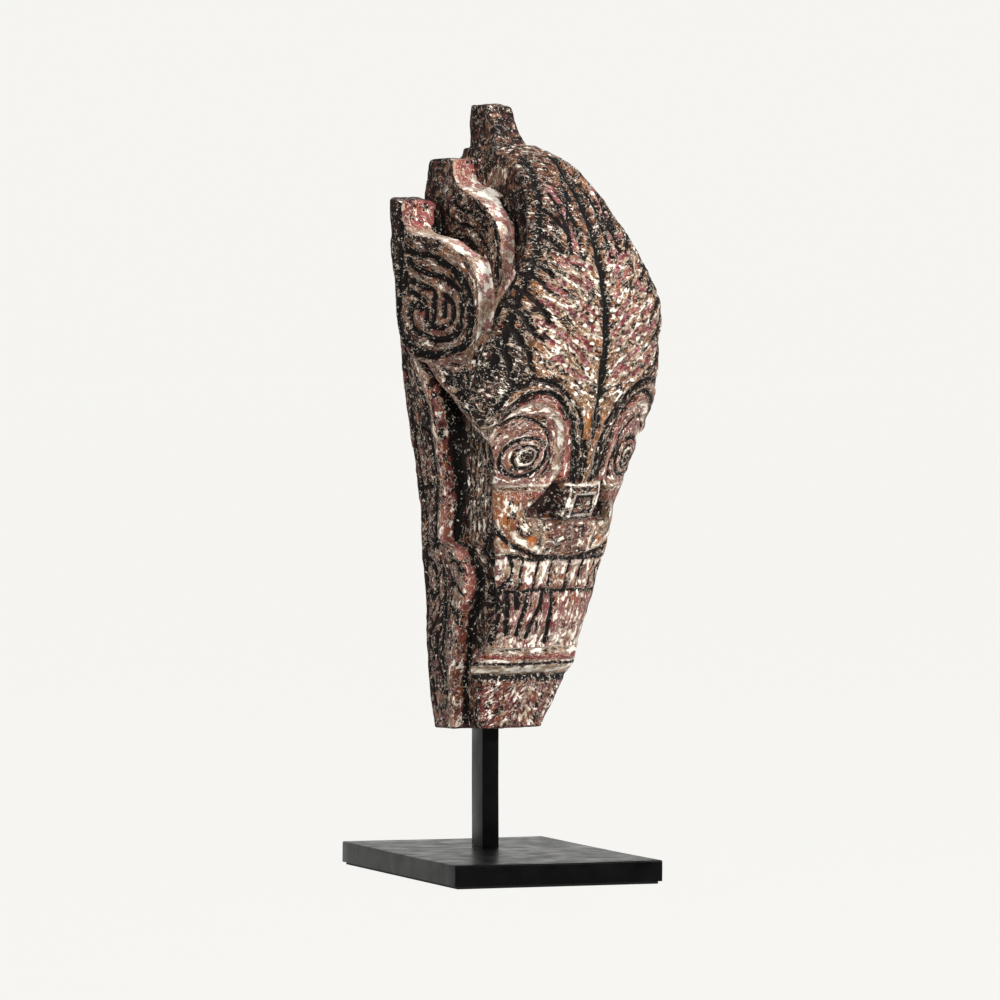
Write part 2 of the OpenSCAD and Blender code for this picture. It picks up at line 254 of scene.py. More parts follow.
def rear(f, h, side):
    """Both halves of the head behind the mask edge. Every part is (half width, distance past its
    front or top); the head is solid where the half width holds and the distance is below 0."""
    u = f + drift(f, h, 11 + side, 0.9)
    v = h + drift(f, h, 21 + side, 0.9)
    face1 = 110 - 0.39 * np.maximum(u - 17, 0)
    c1, c2 = outline(u, v, flowing(PETAL1, 3)), outline(u, v, flowing(PETAL2, 3))
    spiral = strokes(u, v, SPIRAL, 5.0)
    spiral = np.maximum(spiral, strokes(u, v, SPIRAL[:1], 6.4)) * (c1 < -2)
    brow_d = outline(u, v, BROW_MASS)
    ridge = step(brow_d, -9, -6.5) * step(-brow_d, 0.3, 2.5)
    brow_cut = strokes(u, v, BROW_SCROLLS, 4.2) * (brow_d < -6)
    marks2 = strokes(u, v, PETAL2_MARKS, 3.2)
    band_cut = strokes(u, v, BAND_LINES, 3.4)
    scroll_cut = strokes(u, v, SCROLLS, 3.0) * (v < 162)
    motif_cut = strokes(u, v, MOTIFS, 3.4)
    leaf = outline(u, v, [(64, 134), (80, 128), (89, 112), (87, 95), (78, 74), (58, 72), (58, 110)])
    flutes = 0.5 + 0.5 * np.sin(u * 1.05 + drift(u, v, 31 + side, 1.2))
    edge = mask_fwd(v)
    rear_edge = 2.2 * step(-(u - band_front(v)), 0, 3.5)
    return Form(
        u=u, v=v, c1=c1, c2=c2, face1=face1, brow_d=brow_d, ridge=ridge, leaf=leaf, flutes=flutes,
        cut=np.maximum.reduce([spiral, brow_cut, marks2 * (c2 < -3) * (c1 > -1), motif_cut,
                               np.maximum(band_cut, scroll_cut) * (u < band_front(v) - 2)]),
        parts={
            "band": (back_out(v) - 2.6 * np.maximum(band_cut, scroll_cut) - 2.2 + rear_edge,
                     np.maximum(u - band_front(v), v - 356)),
            "petal1": (face1 - 3.4 * spiral, c1),
            "fill1": (face1 - rim1_t(v), c1 + 9),
            "petal2": (petal2_out(v) - 2.2 * marks2, c2),
            "fill2": (petal2_out(v) - rim2_t(v), c2 + 11),
            "core": (core_out(v) - 3.0 * motif_cut - 5 * step(-leaf, 0, 5)
                     - 2.4 * flutes * within(v, 170, 190, 262, 300),
                     np.maximum(u - edge + 6, v - 504)),
            "mask": (mask_wide(v, side) - 1.05 * np.maximum(edge - 1.5 - u, 0),
                     np.maximum(np.abs(u - edge + MASK_DEPTH / 2) - MASK_DEPTH / 2, v - MASK_TOP)),
            "brow": (brow_out(v) - 2.5 * brow_cut + 2.6 * ridge - 1.5, np.maximum(brow_d, u - edge)),
            "prong": (centre_out(v), outline(u, v, PRONG)),
        },
        shells={"petal1": rim1_t(v), "petal2": rim2_t(v)})


BROW_OUTER = [(90, 279), (86, 288), (78, 298), (64, 303), (47, 299), (31, 289), (19, 276),
              (12, 261), (9, 242), (6, 218)]
BROW_GROOVE = [(84, 272), (80, 281), (73, 288), (59, 293), (43, 289), (30, 276), (21, 259),
               (17, 242), (14, 218)]
SOCKET = [(85, 262), (82, 269), (75, 279), (62, 285), (48, 281), (37, 271), (29, 255), (26, 233),
          (27, 218)]
LID = [(82, 262), (79, 267), (70, 272), (58, 271), (46, 262), (39, 250), (35, 233), (37, 221)]
CHEEK = [(71, 208), (68, 190), (63, 173), (54, 161), (37, 155), (15, 151)]
MOUTH_SIDE = [(52, 151), (47, 136), (53, 121), (50, 100), (49, 76)]
EYE = (57, 237)
DOME_EDGES = [
    [(84, 372), (77, 358), (70, 344), (62, 338)], [(86, 352), (79, 338), (72, 326), (70, 314)],
    [(80, 388), (72, 377), (64, 365), (58, 352)], [(89, 332), (86, 318), (82, 300)],
    [(66, 408), (57, 399), (48, 390)], [(38, 447), (32, 439), (26, 430)],
    [(50, 430), (42, 421), (36, 412)], [(73, 396), (62, 388), (55, 378)],
]
DOME_LINES = [
    [(26, 462), (25, 446), (25, 428), (27, 412)], [(17, 455), (15, 430), (17, 408)],
    [(5, 478), (12, 458), (21, 437), (28, 420)],
]
NOSE_LINES = [
    [(5, 216), (4.5, 232), (7, 250)], [(11.5, 216), (12.5, 232), (17, 252)],
    [(0, 254), (2, 270), (0, 285)],
]
HOLLOW = [(20, 216), (19, 184), (30, 182.5), (46, 182), (47, 192), (40, 203), (31, 214), (26, 222)]
NOSE_SQUARE = [(-11, 186), (11, 186), (11, 206), (-11, 206)]
TEETH = [
    [(46, 120), (44, 102), (40, 84)], [(38, 120), (37, 107)], [(13, 118), (16, 100), (19, 82)],
    [(28, 117), (30, 98), (29, 84)], [(3, 119), (0, 98), (-3, 77)],
]
GUM_SPLITS = [[(40, 147), (39, 124)], [(24, 148), (25, 124)], [(9, 148), (9, 124)]]


def dashes(a, h, seed):
    """How far each place is from the short curved gouge cuts that cover the dome like scales."""
    rng = np.random.default_rng(seed)
    lines = []
    for row in range(8):
        base = 298 + 14 * row + rng.uniform(-4, 4)
        reach = 68 - 0.0035 * (base - 320) ** 2
        out = 10 + rng.uniform(0, 6)
        while out < reach - 9:
            run, tilt, bow = rng.uniform(11, 30), rng.uniform(0.1, 1.0), rng.uniform(-1, 5)
            foot = base + 0.35 * out + rng.uniform(-5, 5)
            lines.append([(out, foot), (out + run / 2, foot + tilt * run * 0.5 + bow),
                          (out + run, foot + tilt * run)])
            out += run + rng.uniform(4, 9)
    return np.min([distance(a, h, flowing(line, 3)) for line in lines], axis=0)


def front(l, h, side):
    """How far forward the mask's face is, and what is carved there."""
    l = l + drift(l, h, 41, 0.8)
    v = h + drift(l, h, 51, 0.8)
    a = np.abs(l)
    wide, rim, nose = mask_wide(v, np.sign(l)), mask_fwd(v), nose_fwd(v)
    n = roundness(v)
    share = np.clip(1 - np.clip(a / wide, 0, 1) ** n, 0, 1) ** (1 / n)
    eye_r = np.hypot(a - EYE[0], v - EYE[1])
    socket = outline(a, v, [*flowing(SOCKET, 3), (30, 211), (72, 211), (84, 240)])
    under_brow = outline(a, v, [*flowing(BROW_GROOVE, 3), (14, 212), (95, 240)])
    over_brow = outline(a, v, [*flowing(BROW_OUTER, 3), (6, 212), (100, 240)])
    brow = step(-over_brow, 0, 2.5) * step(under_brow, -0.5, 2)
    middle = distance(l, v, [(0, 286), (1.5, 330), (-1.5, 380), (1, 430), (-2, 492)])
    middle = np.where(v > 286, middle, 99)
    lines = np.maximum.reduce([
        gouge(middle, 3.1),
        strokes(a, v, [BROW_OUTER, BROW_GROOVE], 4.2), stroke(a, v, LID, 2.8),
        1.3 * strokes(a, v, DOME_EDGES, 4.2), strokes(a, v, DOME_LINES, 4.0),
        strokes(a, v, NOSE_LINES, 3.4),
        stroke(a, v, CHEEK, 3.4), stroke(a, v, MOUTH_SIDE, 3.4), strokes(l * side, v, TEETH, 4.4),
        strokes(a, v, GUM_SPLITS, 3.0),
        gouge(wide - a - 4, 2.4) * within(v, 300, 310, 490, 500),
        gouge(eye_r - 16.6, 1.9), gouge(eye_r - 9.6, 1.4), 0.7 * gouge(eye_r - 5.2, 1.1),
        gouge(v - 150, 1.8) * step(-a, -54, -51), gouge(v - 121, 1.6) * step(-a, -52, -49),
    ])
    square = np.clip(1.3 - (outline(l, v, NOSE_SQUARE) / 1.2) ** 2, 0, 1)
    gap = np.where(l < 0, dashes(a, v, 5), dashes(a, v, 6))
    gap += 9 * (1 - (v > 296) * step(wide - a, 14, 20))
    cuts = gouge(gap, 2.5)
    nose_block = step(-np.maximum(a - 19, np.abs(v - 198) - 16), -1.0, 2.0)
    mouth = step(-a, -54, -50) * within(v, 72, 76, 149, 152)
    hollow = step(-outline(a, v, HOLLOW), -0.5, 5)
    relief = (
        -2.8 * lines - 2.0 * cuts + 1.0 * near(gap, 4.4, 1.4) + 1.2 * square
        + 2.4 * brow + 1.4 * step(-under_brow, 0, 2) * step(socket, -1, 1)
        - 4.5 * step(-socket, -1, 4) * step(v, 212, 220)
        + 5.5 * np.clip(1 - (eye_r / 25) ** 2, 0, 1) + 1.3 * (eye_r < 4.6)
        + 5.0 * nose_block + 2.5 * step(-a, -9, -5) * within(v, 214, 220, 262, 284)
        - 12 * hollow - 5 * bump_at(a, v, (22, 186), (10, 12))
        + 2.0 * bump_at(a, v, (50, 182), (24, 26)) + 3.0 * bump_at(a, v, (0, 166), (24, 13))
        + 1.6 * mouth * step(v, 122, 125) - 1.2 * mouth * step(-v, -121, -118)
        + 3.2 * within(v, 51, 56, 68, 74) - 4.5 * np.exp(-((v - 47) / 3.2) ** 2)
    )
    relief = relief * (0.35 + 0.65 * step(wide - a, 0, 6))
    return Form(l=l, v=v, a=a, fwd=rim + (nose - rim) * share + relief, wide=wide, lines=lines,
                cuts=cuts, gap=gap, square=square, socket=socket, brow=brow, under_brow=under_brow,
                eye_r=eye_r, nose_block=nose_block, hollow=hollow, middle=middle,
                edges=strokes(a, v, DOME_EDGES, 3.2), teeth=strokes(l * side, v, TEETH, 4.6))


def lattice(axes, cell, seed):
    """Smooth 3-D noise, about -1 to 1, on the grid of three axes, with lumps `cell` mm across."""
    rng = np.random.default_rng(seed)
    weights = []
    for axis in axes:
        x = (axis - axis[0]) / cell
        whole = np.floor(x).astype(int)
        t = x - whole
        t = t * t * (3 - 2 * t)
        w = np.zeros((len(axis), whole[-1] + 2), np.float32)
        w[np.arange(len(axis)), whole] = 1 - t
        w[np.arange(len(axis)), whole + 1] = t
        weights.append(w)
    values = rng.uniform(-1, 1, [w.shape[1] for w in weights]).astype(np.float32)
    for w in weights:
        values = np.tensordot(values, w, (0, 1))
    return values


def slope(values):
    """How much longer a step is along a surface than across its map, held to about 4."""
    rise = np.gradient(values, PITCH)
    return np.sqrt(1 + np.minimum(rise[0] ** 2 + rise[1] ** 2, 16))


def carve():
    """The head as a signed distance on a grid, then as points and four-sided faces in its frame."""
    ls, fs = np.arange(-117, 117.1, PITCH), np.arange(-27, 172, PITCH)
    hs = np.arange(-4 * PITCH, 545, PITCH)
    l3, f3, h3 = ls[:, None, None], fs[None, :, None], hs[None, None, :]
    f2, h2 = np.meshgrid(fs, hs, indexing="ij")
    solid = np.full((len(ls), len(fs), len(hs)), 50.0, np.float32)
    for side in (-1, 1):
        half = np.flatnonzero(ls * side > -PITCH / 2)
        out = np.abs(l3[half])
        form = rear(f2, h2, side)
        for name, (wide, past) in form.parts.items():
            wide = wide.astype(np.float32)
            part = np.maximum((out - wide[None]) / slope(wide)[None], past[None].astype(np.float32))
            if name in form.shells:
                inner = wide - form.shells[name].astype(np.float32)
                part = np.maximum(part, inner[None] - out)
            solid[half] = np.minimum(solid[half], part)
    l2, h2 = np.meshgrid(ls, hs, indexing="ij")
    face = front(l2, h2, -1)
    fwd, rim = face.fwd.astype(np.float32), mask_fwd(hs)
    ahead = np.maximum((f3 - fwd[:, None, :]) / slope(fwd)[:, None, :],
                       (np.abs(l2) - face.wide)[:, None, :]
                       + np.maximum(rim[None, None, :] - 1.5 - f3, 0))
    ahead = np.maximum(ahead, np.maximum(rim[None, None, :] - MASK_DEPTH - f3, h3 - MASK_TOP))
    solid = np.minimum(solid, ahead.astype(np.float32))
    chamfer = (np.abs(l3) - back_out(h3) + 0.9 * (back_fwd(h3) - f3)) / 1.345
    solid = np.maximum(solid, chamfer.astype(np.float32))
    rough = sum(lump * lattice((ls, fs, hs), size, seed)
                for seed, (lump, size) in enumerate(ROUGHNESS, 1))
    solid += rough
    solid = np.maximum(solid, np.maximum(back_plane(h3) - f3, 0 - h3).astype(np.float32) + 0.25 * rough)
    chip = np.sqrt((l3 - CHIP[0]) ** 2 + (f3 - CHIP[1]) ** 2 + (h3 - CHIP[2]) ** 2) - CHIP_RADIUS
    solid = np.maximum(solid, -chip.astype(np.float32))
    for axis in range(3):
        ends = [slice(None)] * 3
        low, high = list(ends), list(ends)
        low[axis], high[axis] = slice(0, -2), slice(2, None)
        ends[axis] = slice(1, -1)
        solid[tuple(ends)] = 0.5 * solid[tuple(ends)] + 0.25 * (solid[tuple(low)] + solid[tuple(high)])
    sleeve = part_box("socket_sleeve")
    bore = (sleeve[1].x - sleeve[0].x) / 2 / MM + BORE_ROOM
    depth = (sleeve[1].z - sleeve[0].z) / MM + BORE_DEEPER
    hole = np.maximum(np.hypot(l3, f3) - bore, h3 - depth)
    solid = np.maximum(solid, -hole.astype(np.float32))
    band = 3 * PITCH
    solid = np.clip(solid, -band, band)
    for axis in range(3):
        for end in (0, -1):
            edge = [slice(None)] * 3
            edge[axis] = end
            solid[tuple(edge)] = band
    grid = openvdb.FloatGrid(band)
    grid.copyFromArray(np.ascontiguousarray(solid))
    points, quads = grid.convertToQuads(0.0)
    points = points * PITCH + np.array([ls[0], fs[0], hs[0]])
    return points, quads


# -------- paint on the head

def linear(code):
    """A colour such as #a1b2c3 as linear light."""
    c = np.array([int(code[i:i + 2], 16) / 255 for i in (1, 3, 5)])
    return np.where(c < 0.04045, c / 12.92, ((c + 0.055) / 1.055) ** 2.4)


class Coat:
    """The paint at every point: a colour, how much cream primer shows, how much is dark, and which way
    its brush strokes run."""

    def __init__(self, count):
        self.colour = np.tile(linear("#3a2722"), (count, 1))
        self.cream = np.full(count, 0.25)
        self.dark = np.full(count, 0.45)
        self.across = np.zeros(count)

    def run(self, where, across):
        """Brush strokes run where `across` stays the same."""
        self.across = np.where(np.asarray(where) > 0.5, across, self.across)

    def lay(self, where, code, cream=None, dark=None):
        w = np.clip(np.asarray(where, float), 0, 1)
        self.colour += w[:, None] * (linear(code) - self.colour)
        if cream is not None:
            self.cream += w * (cream - self.cream)
        if dark is not None:
            self.dark += w * (dark - self.dark)


def paint_rear(coat, l, f, h, side, on):
    """Petals, bands, recesses and the plain back. `on` is 1 where these surfaces are."""
    lay, run = coat.lay, coat.run
    form = rear(f, h, side)
    u, v, c1, c2 = form.u, form.v, form.c1, form.c2
    out = np.abs(l)
    depth1 = form.face1 - out
    depth2 = petal2_out(v) - out
    t1, t2 = rim1_t(v), rim2_t(v)
    patch = drift(f * 3, h * 3, 61 + side, 1.0)
    mottled = drift(f * 7, h * 7, 63 + side, 1.0)
    band_d = u - band_front(v)
    face = on * step(-np.abs(out - back_out(v)), -5, -3)
    lay(on, "#382722", 0.17, 0.54)
    run(on, band_d * 1.2)
    run(on * (c2 < 4) * (out > 30) * (v > 330), c2 * 1.2)
    run(on * (c1 < 3), c1 * 1.2)
    run(on * (form.brow_d < 0.5) * (c1 > 1), form.brow_d * 1.2)
    lay(face * (v < 345), "#6a453e", 0.28, 0.46)
    lay(face * (v < 345) * near(band_d, -3, 4), "#8a7668", 0.45, 0.2)
    lay(face * step(patch, 0.1, 0.6) * (v < 160), "#7d6a5e", 0.35, 0.25)
    wall = on * (np.abs(band_d) < 2.6) * (v < 300)
    fade = step(-(back_out(v) - out), -16, -9)
    lay(wall * fade, "#80443f", 0.34, 0.28)
    lay(wall * fade * within(v, 110, 135, 160, 225), "#a8655f", 0.4, 0.12)
    lay(wall * fade * (v < 75), "#7d4a43", 0.46, 0.22)
    # painted shade: deep in the recess the band's front wall is laid near black
    lay(wall * (1 - fade), "#1c1514", 0.08, 0.85)
    floor = on * step(band_d, 1.5, 4) * (out < core_out(v) + 4) * (v < 300)
    lay(floor, "#42302a", 0.22, 0.6)
    lay(floor * (form.flutes < 0.4) * step(u, 48, 54) * (v > 165), "#7d6f62", 0.48, 0.25)
    lay(floor * (v < 172) * step(u, 55, 62), "#5d5045", 0.34, 0.35)
    lay(floor * step(-form.leaf, 1, 4), "#1d1716", 0.16, 0.7)
    lay(floor * (v < 70), "#7a4a46", 0.35, 0.3)
    wall = on * step(out, mask_out(v) - 12, mask_out(v) - 4) * (np.abs(u - mask_fwd(v) + 7) < 9)
    lay(wall, "#4a322a", 0.25, 0.5)
    lay(wall * near(u - mask_fwd(v), -2, 3) * (v < 230), "#a87a5c", 0.5, 0.1)
    brow = on * (form.brow_d < 0.5) * (out > brow_out(v) - 9) * step(c1, 0.5, 2)
    lay(brow, "#2b2220", 0.42, 0.62)
    lay(brow * form.ridge, "#7d6253", 0.4, 0.2)
    lay(brow * form.ridge * step(-u, -52, -34), "#7a463e", 0.25, 0.25)
    panel1 = on * (c1 < -1) * (depth1 < 6) * (u > 17)
    lay(panel1, "#7a6657", 0.34, 0.26)
    lay(panel1 * step(mottled, 0.2, 0.8), "#7d5a45", 0.34, 0.22)
    lay(panel1 * near(c1, -7, 6) * step(-u, -70, -40), "#3c2f29", 0.26, 0.5)
    lay(on * (c1 < 0) * (depth1 < 6) * (u < 17), "#2f2a27", 0.18, 0.55)
    top1 = on * (c1 > -1.2) * (c1 < 2.4) * (depth1 < t1 + 1) * (depth1 > -3) * (u > 14)
    lay(top1, "#c28c86", 0.52, 0.05)
    lay(top1 * near(depth1, t1 - 1, 1.2) * (v < 425), "#5a3531", 0.45, 0.2)
    lay(top1 * step(v, 425, 436), "#9c5654", 0.4, 0.26)
    lay(top1 * near(depth1, 1.0, 1.8), "#c9b19a", 0.66, 0.08)
    lay(top1 * near(v, 426, 7) * step(-u, -62, -50), "#c8b8a8", 0.62, 0.1)
    lay(top1 * step(-v, -340, -325), "#8a6664", 0.36, 0.14)
    panel2 = on * (c2 < -1) * (depth2 < 5) * (c1 > 1.5)
    lay(panel2, "#4a2f2a", 0.26, 0.42)
    lay(panel2 * step(patch, 0.3, 0.8), "#8b7a63", 0.4, 0.25)
    top2 = on * (c2 > -1.2) * (c2 < 2.4) * (depth2 < t2 + 1) * (depth2 > -3) * (u > 14) * (c1 > 0)
    lay(top2, "#c08a83", 0.52, 0.05)
    lay(top2 * step(v, 466, 474), "#b0645c", 0.42, 0.2)
    lay(top2 * near(v, 461, 6) * step(depth2, 4, 9), "#cfc4b4", 0.66, 0.1)
    lay(top2 * near(depth2, 1.0, 1.6), "#c2a48a", 0.6, 0.1)
    # painted shade: the slots behind the rims of both petals are laid near black
    shaded_slot1 = on * (c1 < -2.5) * (depth1 > t1 - 1) * (depth2 < -1)
    lay(shaded_slot1, "#171110", 0.06, 0.9)
    shaded_slot2 = on * (c2 < -2.5) * (depth2 > t2 - 1)
    lay(shaded_slot2, "#171110", 0.08, 0.85)
    # painted shade: the strip just outside the second petal's rim, next to the dome, is laid dark
    shaded_groove = on * step(c2, 2, 4) * step(v, 350, 360) * (out < mask_out(v) - 6)
    lay(shaded_groove, "#2a1c19", 0.16, 0.7)
    lay(on * (c2 > 2) * (v > 350) * near(u - mask_fwd(v), -5, 3), "#5d4132", 0.28, 0.35)
    crown = on * step(v, 462, 470) * (out < 32) * (c2 > -9)
    lay(crown, "#3d2a25", 0.22, 0.55)
    lay(crown * step(mottled, 0.3, 0.9), "#7c5038", 0.35, 0.25)
    lay(crown * bump_at(u, v, (52, 478), (16, 12)) * 2, "#8b7460", 0.4, 0.15)
    back = on * (f < back_fwd(h) + 1)
    lay(back, "#4a3527", 0.08, 0.45)
    sawn = on * np.maximum(f < back_plane(h) + 1.5, h < 1.5)
    run(sawn, l * 0.9 - SIDE_SHIFT * side)
    lay(sawn, "#5e4735", 0.0, 0.22)
    lay(sawn * step(patch, 0.0, 0.8), "#453225", 0.0, 0.3)
    lay(on * form.cut * (1 - np.maximum(back, sawn)), INK, 0.07, 0.92)


def paint_dome(coat, form, on, patch, mottled):
    """The ground of the whole face, and the scale-like cuts on the dome."""
    lay, run = coat.lay, coat.run
    a, v, gap, side_l = form.a, form.v, form.gap, form.l
    high = step(v, 395, 440)
    run(on, (v - 0.6 * a) * 0.9)
    lay(on, "#80603f", 0.43, 0.38)
    lay(on * step(patch, 0.0, 0.5) * step(v, 290, 320), "#9c6232", 0.38, 0.32)
    lay(on * high, "#6f4529", 0.35, 0.4)
    lay(on * high * step(mottled, 0.1, 0.6) * step(side_l, 2, 12), "#a05c28", 0.32, 0.36)
    # painted shade: the upper dome is laid darker on the flank where l is below 0, the flank turned
    # from the lamps
    lay(on * step(-side_l, 26, 40) * step(v, 380, 420), "#6a4330", 0.38, 0.42)
    lay(on * step(side_l, 3, 12) * step(v, 290, 310), "#8a5a38", 0.38, 0.42)
    lay(on * near(gap, 4.4, 1.6) * step(mottled, -0.8, 0.0), "#c4b096", 0.62, 0.08)
    lay(on * (form.cuts > 0.3), "#702a34", 0.16, 0.14)
    lay(on * (form.cuts > 0.3) * step(mottled, 0.0, 0.3), "#ad7076", 0.28, 0.06)
    lay(on * (form.cuts > 0.3) * step(patch, 0.5, 0.8), "#3b3f42", 0.28, 0.5)
    lay(on * near(gap, 6.4, 0.7) * step(patch, -0.2, 0.4), "#1a1512", 0.24, 0.62)
    lay(on * near(a, 23, 3.5) * (v > 405) * (v < 470), "#a3656a", 0.42, 0.2)
    lay(on * step(a, 68, 78) * within(v, 256, 264, 335, 350), "#4c3b30", 0.36, 0.55)


def paint_eyes(coat, form, on, mottled):
    """The brow bands, the lids and the ringed eyes."""
    lay, run = coat.lay, coat.run
    a, v, ring = form.a, form.v, form.eye_r
    band = on * form.brow
    run(band, form.under_brow * 1.2)
    lay(band, "#8d5a30", 0.44, 0.34)
    lay(band * step(mottled, 0.2, 0.6), "#6f6b66", 0.5, 0.4)
    worn_lip = band * near(form.under_brow, 1.5, 1.8)
    lay(worn_lip * step(np.sin(v + a), -0.2, 0.4), "#cabba6", 0.66, 0.1)
    lid = on * (form.under_brow < -1) * (v > 216)
    run(lid, form.socket * 1.2)
    lay(lid, "#7c3a35", 0.3, 0.3)
    lay(lid * near(form.under_brow, -7.5, 1.6), "#a8685e", 0.42, 0.12)
    inner = on * (form.socket < 0) * (v > 212)
    run(inner, ring * 1.2)
    lay(inner, "#7d5650", 0.4, 0.22)
    lay(inner * near(form.socket, -1.5, 1.6), "#c4ac99", 0.62, 0.1)
    lay(inner * near(ring, 13.2, 2.6), "#a2766c", 0.5, 0.16)
    lay(inner * near(ring, 7.4, 1.8), "#bdb3a6", 0.6, 0.1)
    lay(inner * (ring < 4.6), "#3a302a", 0.3, 0.55)


def paint_nose(coat, form, on):
    lay, run = coat.lay, coat.run
    a, v = form.a, form.v
    bridge = on * (a < 20) * (form.under_brow > 0) * within(v, 212, 218, 270, 286)
    run(bridge, a * 1.3)
    lay(bridge, "#855c38", 0.42, 0.26)
    lay(bridge * near(a, 8.2, 2.2), "#c07a35", 0.34, 0.04)
    lay(bridge * near(a, 14.5, 1.4), "#d8c7b2", 0.62, 0.05)
    lay(on * form.nose_block, "#5f463a", 0.34, 0.46)
    lay(on * near(v, 214, 1.2) * (a < 20), "#d9cdbb", 0.72, 0.05)
    # painted shade: both flanks of the nose block are laid in darker brown
    lay(on * near(a, 18.5, 2.6) * within(v, 180, 184, 211, 214), "#4b2f28", 0.3, 0.5)
    lay(on * near(a, 15.8, 0.9) * within(v, 184, 187, 213, 216), "#d9c9b4", 0.7, 0.05)
    lay(on * near(outline(form.l, v, NOSE_SQUARE), -2.6, 1.0), "#201a18", 0.1, 0.8)
    lay(on * form.square, "#c6c3bb", 0.6, 0.0)
    # painted shade: the hollows beside the nose, under the eyes, are laid near black
    lay(on * step(form.hollow, 0.1, 0.7), "#35211b", 0.12, 0.62)
    # painted shadow: a dark red line along the bottom edge of those hollows, under their lip
    lay(on * near(v, 182.5, 1.2) * (a > 17) * (a < 50), "#6e2c28", 0.1, 0.3)


def paint_cheeks(coat, form, on):
    lay, run = coat.lay, coat.run
    a, v, hollow = form.a, form.v, form.hollow
    cheek = on * (a > 30) * step(-v, -210, -206) * step(v, 152, 156) * (1 - hollow)
    line = distance(a, v, flowing(CHEEK))
    run(cheek, line * 1.2)
    lay(cheek, "#8d7459", 0.46, 0.32)
    lay(cheek * near(line, 5.5, 2.2), "#c9b598", 0.66, 0.08)
    lay(cheek * near(line, 11, 2.0), "#5d3f31", 0.3, 0.5)
    lay(cheek * step(v, 196, 203), "#8c4c43", 0.3, 0.2)
    lay(cheek * near(v, 210, 2.0), "#dccdb8", 0.7, 0.03)
    lay(on * 1.6 * bump_at(a, v, (58, 178), (7, 8)), "#a8642c", 0.34, 0.2)
    lay(on * 1.6 * bump_at(a, v, (38, 165), (6, 6)), "#b0601f", 0.24, 0.14)
    side = on * near(a, mask_out(v) - 3, 3.5) * step(-v, -215, -200) * step(v, 150, 160)
    lay(side, "#b06c38", 0.45, 0.08)
    boss = on * (a < 27) * within(v, 150, 154, 180, 184)
    run(boss, v)
    lay(boss, "#735248", 0.34, 0.32)
    lay(on * near(a, 26, 1.6) * within(v, 152, 156, 178, 182), "#cdb79c", 0.62, 0.06)


def paint_mouth(coat, form, on, patch, mottled):
    lay, run = coat.lay, coat.run
    a, v = form.a, form.v
    mouth = on * step(-v, -152, -149) * step(v, 70, 74)
    run(mouth, a * 1.1)
    lay(mouth, "#86605a", 0.4, 0.22)
    lay(mouth * step(patch, 0.2, 0.7), "#7e413f", 0.36, 0.24)
    block = np.sin(a * math.tau / 15 + 0.6 + 1.6 * patch) * near(v, 137, 9)
    lay(mouth * step(block, 0.1, 0.5), "#b9a588", 0.62, 0.14)
    lay(mouth * near(v, 98, 3), "#a5746e", 0.5, 0.1)
    lay(mouth * near(v, 80, 7) * step(mottled, -0.3, 0.4), "#c9bba8", 0.6, 0.14)
    lay(mouth * near(v, 146, 2.2), "#d8c6b4", 0.62, 0.04)
    lip = on * step(-v, -74, -70) * step(v, 47, 50)
    run(lip, v * 1.2)
    lay(lip, "#a8957f", 0.62, 0.22)
    lay(lip * near(v, 63.5, 3.0), "#8a3c38", 0.3, 0.18)
    lay(lip * near(v, 57.5, 1.4), "#1d1614", 0.16, 0.75)
    lay(lip * near(v, 51.5, 2.2), "#d5c8b4", 0.7, 0.02)
    chin = on * step(-v, -48, -46)
    run(chin, (v + a) * 0.5)
    lay(chin, "#733a37", 0.42, 0.32)
    # painted shadow: a near-black line in the groove under the lower lip
    lay(on * near(v, 45, 3.0), "#1b1311", 0.12, 0.78)


def paint_face(coat, l, h, on):
    """The dome, brows, eyes, nose, cheeks, mouth and chin."""
    form = front(l, h, -1)
    patch = drift(l * 2.6, h * 2.6, 71, 1.0)
    mottled = drift(l * 6, h * 6, 73, 1.0)
    paint_dome(coat, form, on, patch, mottled)
    paint_nose(coat, form, on)
    paint_eyes(coat, form, on, mottled)
    paint_cheeks(coat, form, on)
    paint_mouth(coat, form, on, patch, mottled)
    coat.lay(on * form.lines, "#141110", 0.1, 0.84)
    coat.lay(on * form.edges, "#24292c", 0.02, 0.7)
    coat.lay(on * form.teeth, "#2c3033", 0.02, 0.74)
    coat.lay(on * near(form.middle, 0, 2.6), "#14181a", 0.02, 0.9)


def put(name, data):
    """A new object in the scene."""
    obj = bpy.data.objects.new(name, data)
    bpy.context.scene.collection.objects.link(obj)
    return obj


def hollows(mesh):
    """How much each point lies in a hollow (above 0) or on an edge (below 0), about -1 to 1."""
    count = len(mesh.vertices)
    co = np.empty(count * 3)
    no = np.empty(count * 3)
    ends = np.empty(len(mesh.edges) * 2, int)
    mesh.vertices.foreach_get("co", co)
    mesh.vertices.foreach_get("normal", no)
    mesh.edges.foreach_get("vertices", ends)
    co, no, ends = co.reshape(-1, 3) / MM, no.reshape(-1, 3), ends.reshape(-1, 2)
    degree = np.bincount(ends.ravel(), minlength=count)

    def spread(values):
        total = np.bincount(ends[:, 0], values[ends[:, 1]], count)
        return (total + np.bincount(ends[:, 1], values[ends[:, 0]], count)) / np.maximum(degree, 1)

    middle = np.stack([spread(spread(co[:, i])) for i in range(3)], 1)
    bend = ((middle - co) * no).sum(1) / PITCH
    return np.clip(spread(bend) * 2.2, -1, 1)


def to_world(points):
    """From the head's frame in millimetres to the row frame in metres."""
    c, s = math.cos(HEAD_TURN), math.sin(HEAD_TURN)
    x, y = points[:, 0], -points[:, 1]
    return np.stack([PIN.x + (c * x - s * y) * MM, PIN.y + (s * x + c * y) * MM,
                     UNDERSIDE + points[:, 2] * MM], 1)


